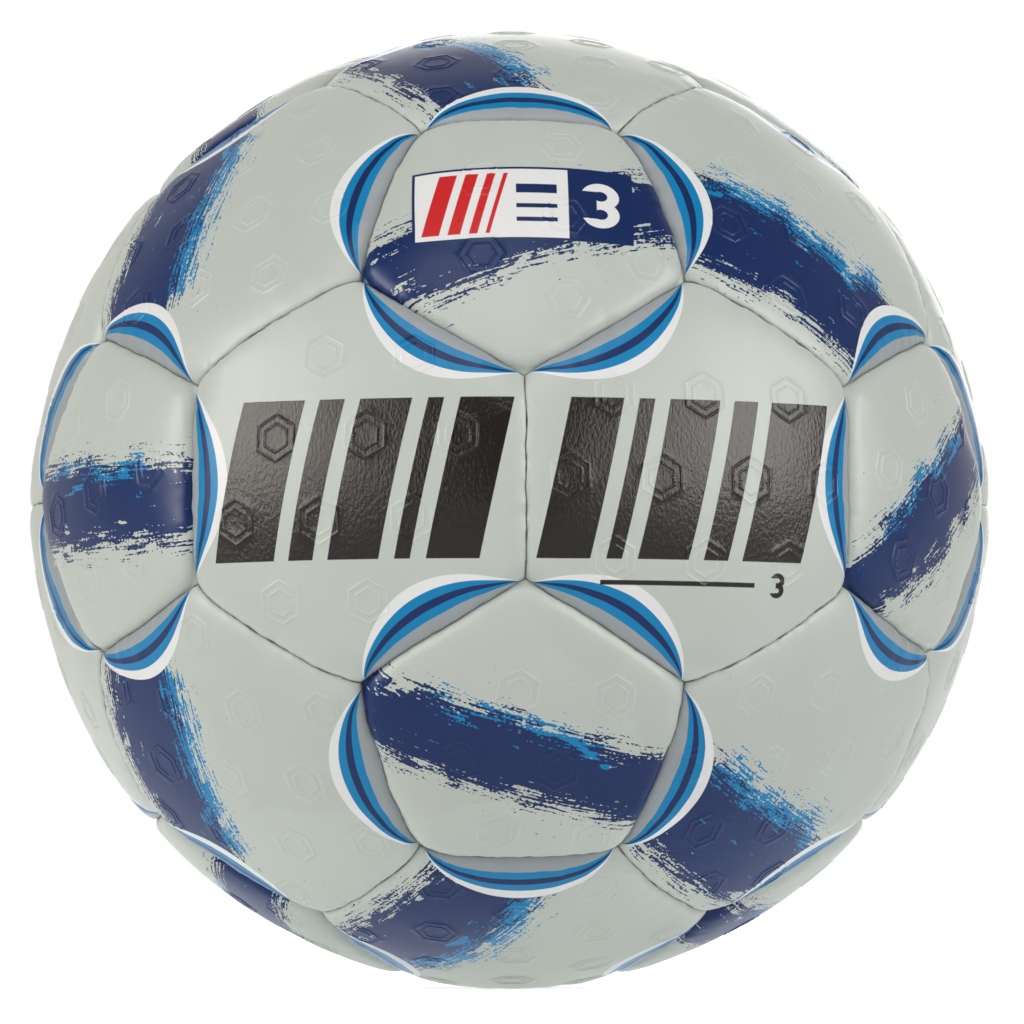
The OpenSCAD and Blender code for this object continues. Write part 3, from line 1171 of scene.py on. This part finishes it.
cuts = {
    hexagon: [skin_mesh(f"hexagon_cut_{i}", hexagon, s) for i, s in enumerate(mark_shifts)],
    pentagon: [skin_mesh(f"pentagon_cut_{i}", pentagon, s) for i, s in enumerate(mark_shifts)],
}
valve_cut = skin_mesh("valve_cut", hexagon, mark_shifts[1], valve_hole_r)
axes = {hexagon: hexagon_axes, pentagon: pentagon_axes}
doming = doming_tree()

# Where a panel lies: shares of the ball's radius by which it is at the front, high or low
front_share, high_share, middle_share = 0.9, 0.5, 0.1
same_axis_share = 0.99


def hexagon_finish(axis):
    """Which finish a six-sided panel has, by where it lies."""
    if axis.dot(valve_axis) > same_axis_share:
        return "valve"
    if axis.y < -front_share:
        return "barred"
    return "brushed" if abs(axis.z) > high_share else "bare"


def pentagon_finish(axis):
    at_front = axis.y < 0 and abs(axis.x) < middle_share
    return "badge" if at_front and axis.z > high_share else "sash"


def domed(name, sides, mesh, axis, number, finish):
    """A flat cut on the ball: the panel on axis, or a layer under it."""
    values = {
        key: size[sides] if isinstance(size, dict) else size
        for key, size in form_sizes.items()
    }
    values.update({
        "Ball radius": crown_r, "Axis": axis, "Toward": uppermost(axis),
        "Panel": float(number), "Cover": finish,
    })
    return grown(name, mesh, doming, values)


def make_panel(node, number):
    sides = pentagon if node.startswith("pentagon") else hexagon
    axis = node_axis(node, axes[sides])
    finish = pentagon_finish(axis) if sides == pentagon else hexagon_finish(axis)
    cut = valve_cut if finish == "valve" else cuts[sides][number % len(cuts[sides])]
    panel = domed(node + "_skin", sides, cut, axis, number, covers[finish])
    hand_over(panel, node)


kinds = ("hexagon_panel", "pentagon_panel", "valve_panel")
for number, node in enumerate(sorted(n for n in nodes if n.startswith(kinds))):
    make_panel(node, number)

# The foam and the lining under each panel: inset from the seams, and depth of the outer and of
# the inner face
layers = {
    "foam": (2.3 * mm, 1.4 * mm, 4.0 * mm),
    "lining": (1.4 * mm, 4.1 * mm, 4.9 * mm),
}
layer_margin_share, layer_clear_share = 0.6, 0.5


def layer_mesh(name, sides, layer, hole_r=0.0):
    """The flat cut of a layer: a closed slab of one thickness."""
    inset, outer_depth, inner_depth = layers[layer]
    cut = Cut()
    reach = side_reach(sides, inset)
    rim = outline(sides, reach, point_count(sides, reach, layer_spacing))
    hole = [circle(hole_r, hole_points)] if hole_r else []
    margin = inset + layer_spacing * layer_margin_share
    field = grid_on_panel(sides, layer_spacing, margin, hole_r + layer_spacing * layer_clear_share)
    top = cut.add_sheet([rim] + hole, field, outer_depth, True)
    bottom = cut.add_sheet([rim] + hole, field, inner_depth, False)
    cut.add_wall(top[0], bottom[0])
    if hole:
        cut.add_wall(top[1], bottom[1], -1)
    return stored_mesh(name, sides, cut, [], hole_r)


def joined(name, pieces):
    """One object from several."""
    bpy.ops.object.select_all(action="DESELECT")
    for piece in pieces:
        piece.select_set(True)
    bpy.context.view_layer.objects.active = pieces[0]
    bpy.ops.object.join()
    pieces[0].name = name
    pieces[0].data.name = name
    return pieces[0]


def make_layers(layer, sides, kind, finish):
    """The same layer under every panel of one kind, as one piece."""
    plain = layer_mesh(f"{kind}_{layer}_cut", sides, layer)
    pieces = []
    for number, axis in enumerate(axes[sides]):
        at_valve = axis.dot(valve_axis) > same_axis_share
        mesh = layer_mesh("valve_" + layer, sides, layer, valve_hole_r) if at_valve else plain
        pieces.append(domed(f"{layer}_{number}", sides, mesh, axis, number, finish))
    piece = joined(f"{kind}_{layer}_layers", pieces)
    hand_over(piece, f"{kind}_{layer}s")


foam_finish = moulded("foam", (0.80, 0.78, 0.68), roughness=0.85, size=0.8 * mm, depth=0.1 * mm)
lining_finish = woven("lining", (0.66, 0.64, 0.56), shade=(0.50, 0.49, 0.44))
for layer, finish in (("foam", foam_finish), ("lining", lining_finish)):
    make_layers(layer, hexagon, "hexagon", finish)
    make_layers(layer, pentagon, "pentagon", finish)

# The thread of the seams: a run beside each face of the two turned-in edges, drawn down
# between the holes, and a stitch across at each hole

stitch_r = crown_r - 3.3 * mm
run_offset = 1.8 * mm
stitch_count = 7
stitch_steps = 4
stitch_reach_share = 0.84
stitch_bulge = 0.12 * mm
thread_w, thread_t = 0.8 * mm, 0.6 * mm
thread_sides = 8
seam_half_angle = math.asin(1 / math.sqrt(1 + 9 * golden * golden))


def thread_paths(seams, bow):
    """The thread's centreline in each seam, as points joined by edges."""
    points, edges = [], []
    steps = stitch_steps * (stitch_count - 1)
    reach = seam_half_angle * stitch_reach_share
    for middle, across in seams:
        along = middle.cross(across)

        def place(step, side):
            angle = reach * (2 * step / steps - 1)
            bulge = stitch_bulge * math.cos(2 * math.pi * step / stitch_steps)
            direction = middle * math.cos(angle) + along * math.sin(angle)
            stray = bow * (1 - (angle / seam_half_angle) ** 2)
            return direction * (stitch_r + bulge) + across * (side * run_offset + stray)

        for side in signs:
            start = len(points)
            points += [place(step, side) for step in range(steps + 1)]
            edges += [(start + step, start + step + 1) for step in range(steps)]
        for step in range(0, steps + 1, stitch_steps):
            edges.append((len(points), len(points) + 1))
            points += [place(step, side) for side in signs]
    return points, edges


def thread_tree():
    """Lays a flat braided thread along edges."""
    tree, given = new_tree("thread along a seam", {
        "Ball radius": "Float", "Seam distance": "Float", "Thread width": "Float",
        "Thread thickness": "Float", "Strand sides": "Int", "Braid": "Material",
    })
    direction = vector_maths("NORMALIZE", place_in(tree))
    on_ball = vector_maths("SCALE", direction, scale=given["Ball radius"])
    stray = wander(on_ball, given["Seam distance"])
    strayed = new_node(tree, "SetPosition", Geometry=given["Geometry"], Offset=stray)
    lines = new_node(tree, "MeshToCurve", Mesh=strayed)
    sides = given["Strand sides"]
    round_section = new_node(tree, "CurvePrimitiveCircle", Resolution=sides, Radius=0.5)
    flat = join_xyz(given["Thread width"], given["Thread thickness"], 1.0)
    section = new_node(tree, "Transform", Geometry=round_section, Scale=flat)
    swept = new_node(tree, "CurveToMesh", Curve=lines, Profile_Curve=section, Fill_Caps=True)
    finish_tree(tree, swept, given["Braid"])
    return tree


def seams_between(first_axes, second_axes):
    """Each seam as the direction of its middle and the direction across it."""
    found = []
    for i, a in enumerate(first_axes):
        for j, b in enumerate(second_axes):
            same_kind = first_axes is second_axes
            if b not in neighbours(a) or (same_kind and j <= i):
                continue
            to_a = side_angle(hexagon if same_kind else pentagon)
            middle = (a * math.sin(side_angle(hexagon)) + b * math.sin(to_a)).normalized()
            across = (b - b.dot(middle) * middle).normalized()
            found.append((middle, across))
    return found


def make_threads(kind, bow):
    points, edges = thread_paths(seams_between(axes[kind], hexagon_axes), bow)
    name = "hexagon" if kind == hexagon else "pentagon"
    mesh = bpy.data.meshes.new(name + "_stitching_path")
    mesh.from_pydata(points, edges, [])
    piece = grown(name + "_stitching", mesh, threading, {
        "Ball radius": crown_r, "Seam distance": run_offset, "Thread width": thread_w,
        "Thread thickness": thread_t, "Strand sides": thread_sides, "Braid": braid,
    })
    hand_over(piece, name + "_seam_threads")


threading = thread_tree()
braid = moulded("thread", (0.05, 0.055, 0.06), roughness=0.6, size=0.3 * mm, depth=0.05 * mm)
make_threads(hexagon, 0)
make_threads(pentagon, bow_height)

# The bladder, its patch and the valve: turned about the valve's axis. A profile is a list of
# (distance from the axis, height along it) in millimetres, from the axis or back to its start.

lathe_steps = 72
arc_steps, flange_steps = 12, 6
bladder_out, bladder_in = 88.8, 87.6
bladder_steps, bead_angle, bead_height = 90, 0.008, 0.12
bead_steps, bead_reach = 4, 3
patch_out, patch_in, patch_r = 87.5, 86.3, 18.0
hole_mm = valve_hole_r / mm

# The valve's core sits in its housing with a small gap, and the core's collar in a groove
seat_gap = 0.1
core_r, collar_r, needle_r = 2.2, 2.9, 1.25
core_low, core_high, needle_low = 73.6, 93.12, 78.6
collar_low, collar_high = 83.1, 84.6
seat_r, groove_r = core_r + seat_gap, collar_r + seat_gap
groove_low, groove_high = collar_low - seat_gap, collar_high + seat_gap
tail_r, tail_low, tail_high = 3.8, 67.6, 84.0
flange_out, flange_in, flange_r = 86.2, 85.0, 12.0
neck_r, head_r, head_high = 4.6, 4.5, 93.6
lip_r, dish_high = 3.6, 93.2


def lathe(name, profile, closed):
    """A solid of revolution about the valve's axis."""
    right = valve_axis.orthogonal().normalized()
    up = valve_axis.cross(right)
    verts, rings = [], []
    for reach, height in profile:
        steps = lathe_steps if reach > 0 else 1
        rings.append([len(verts) + i for i in range(steps)])
        for i in range(steps):
            turn = 2 * math.pi * i / steps
            spoke = right * math.cos(turn) + up * math.sin(turn)
            verts.append((spoke * reach + valve_axis * height) * mm)
    pairs = list(zip(rings, rings[1:] + rings[:1]))
    if not closed:
        pairs.pop()
    faces = []
    for ring, following in pairs:
        for i in range(lathe_steps):
            j = (i + 1) % lathe_steps
            a, b = ring[i % len(ring)], ring[j % len(ring)]
            c, d = following[j % len(following)], following[i % len(following)]
            faces.append([v for k, v in enumerate((a, b, c, d)) if v not in (a, b, c, d)[:k]])
    mesh = bpy.data.meshes.new(name)
    mesh.from_pydata(verts, [], faces)
    mesh.shade_smooth()
    return linked(name, mesh)


def arc(radius, start_r, end_r, steps):
    """Points on a sphere about the ball's centre between two distances from the axis."""
    start, end = math.asin(start_r / radius), math.asin(end_r / radius)
    angles = [start + (end - start) * i / steps for i in range(steps + 1)]
    return [(radius * math.sin(a), radius * math.cos(a)) for a in angles]


def bladder_outline(radius, bead):
    """From the bladder's hole to the far pole, with a bead where the halves of its mould met."""
    start = math.asin(hole_mm / radius)
    angles = [start + (math.pi - start) * i / bladder_steps for i in range(bladder_steps)]
    middle = math.pi / 2
    angles = [a for a in angles if abs(a - middle) > bead_reach * bead_angle]
    angles += [middle + bead_angle * i / 2 for i in range(-bead_steps, bead_steps + 1)]
    points = []
    for a in sorted(angles):
        r = radius - bead * (1 - math.exp(-((a - middle) / bead_angle) ** 2))
        points.append((r * math.sin(a), r * math.cos(a)))
    return points + [(0, bead - radius)]


def make_turned(name, node, profile, closed, finish):
    piece = lathe(name, profile, closed)
    piece.data.materials.append(finish)
    hand_over(piece, node)


rubber_lumps = {"size": 0.6 * mm, "depth": 0.03 * mm}
latex = moulded("latex", (0.62, 0.42, 0.20), roughness=0.5, size=4 * mm, depth=0.1 * mm)
rubber = moulded("valve_rubber", (0.035, 0.035, 0.037), roughness=0.55, **rubber_lumps)
core_rubber = moulded("core_rubber", (0.07, 0.07, 0.072), roughness=0.5, **rubber_lumps)
bladder_profile = bladder_outline(bladder_out, bead_height)[::-1] + bladder_outline(bladder_in, 0)
patch_profile = (arc(patch_in, hole_mm, patch_r, arc_steps)
                 + arc(patch_out, hole_mm, patch_r, arc_steps)[::-1])
housing_profile = (
    # the tail with its rounded end, the flange, the head with its rounded rim, and the dish
    [(0, tail_low), (3.2, tail_low), (3.65, tail_low + 0.2), (tail_r, tail_low + 0.7)]
    + [(tail_r, 80.0), (tail_r, tail_high)] + arc(flange_in, 4.2, flange_r - 0.3, flange_steps)
    + [(flange_r, 84.75)] + arc(flange_out, 5.0, flange_r - 0.2, flange_steps)[::-1]
    + [(neck_r, 86.4), (head_r, 86.9), (head_r, 92.9), (4.42, 93.25), (4.2, 93.5)]
    + [(3.95, head_high), (lip_r, head_high), (3.5, 93.52), (3.4, 93.3), (3.2, dish_high)]
    + [(2.75, dish_high), (2.55, 93.3), (seat_r, dish_high), (seat_r, 92.9)]
    # the seat, with the groove for the collar
    + [(seat_r, groove_high), (groove_r, groove_high), (groove_r, groove_low), (seat_r, groove_low)]
    + [(seat_r, core_low - seat_gap), (0, core_low - seat_gap)]
)
core_profile = (
    # the rounded end, the collar, the rounded top and the needle hole
    [(0, core_low), (1.9, core_low), (2.15, 73.8), (core_r, 74.2), (core_r, collar_low)]
    + [(collar_r, collar_low), (collar_r, collar_high), (core_r, collar_high), (core_r, 92.7)]
    + [(2.1, 93.0), (1.9, core_high), (1.75, 93.1), (1.5, 92.9), (1.3, 92.6), (needle_r, 92.2)]
    + [(needle_r, needle_low + 0.2), (1.0, needle_low), (0, needle_low)]
)
make_turned("bladder_shell", "bladder", bladder_profile, False, latex)
make_turned("valve_patch_disc", "valve_patch", patch_profile, True, rubber)
make_turned("valve_body", "valve_housing", housing_profile, False, rubber)
make_turned("valve_insert", "valve_core", core_profile, False, core_rubber)

low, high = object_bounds()
make_floor(low.z)
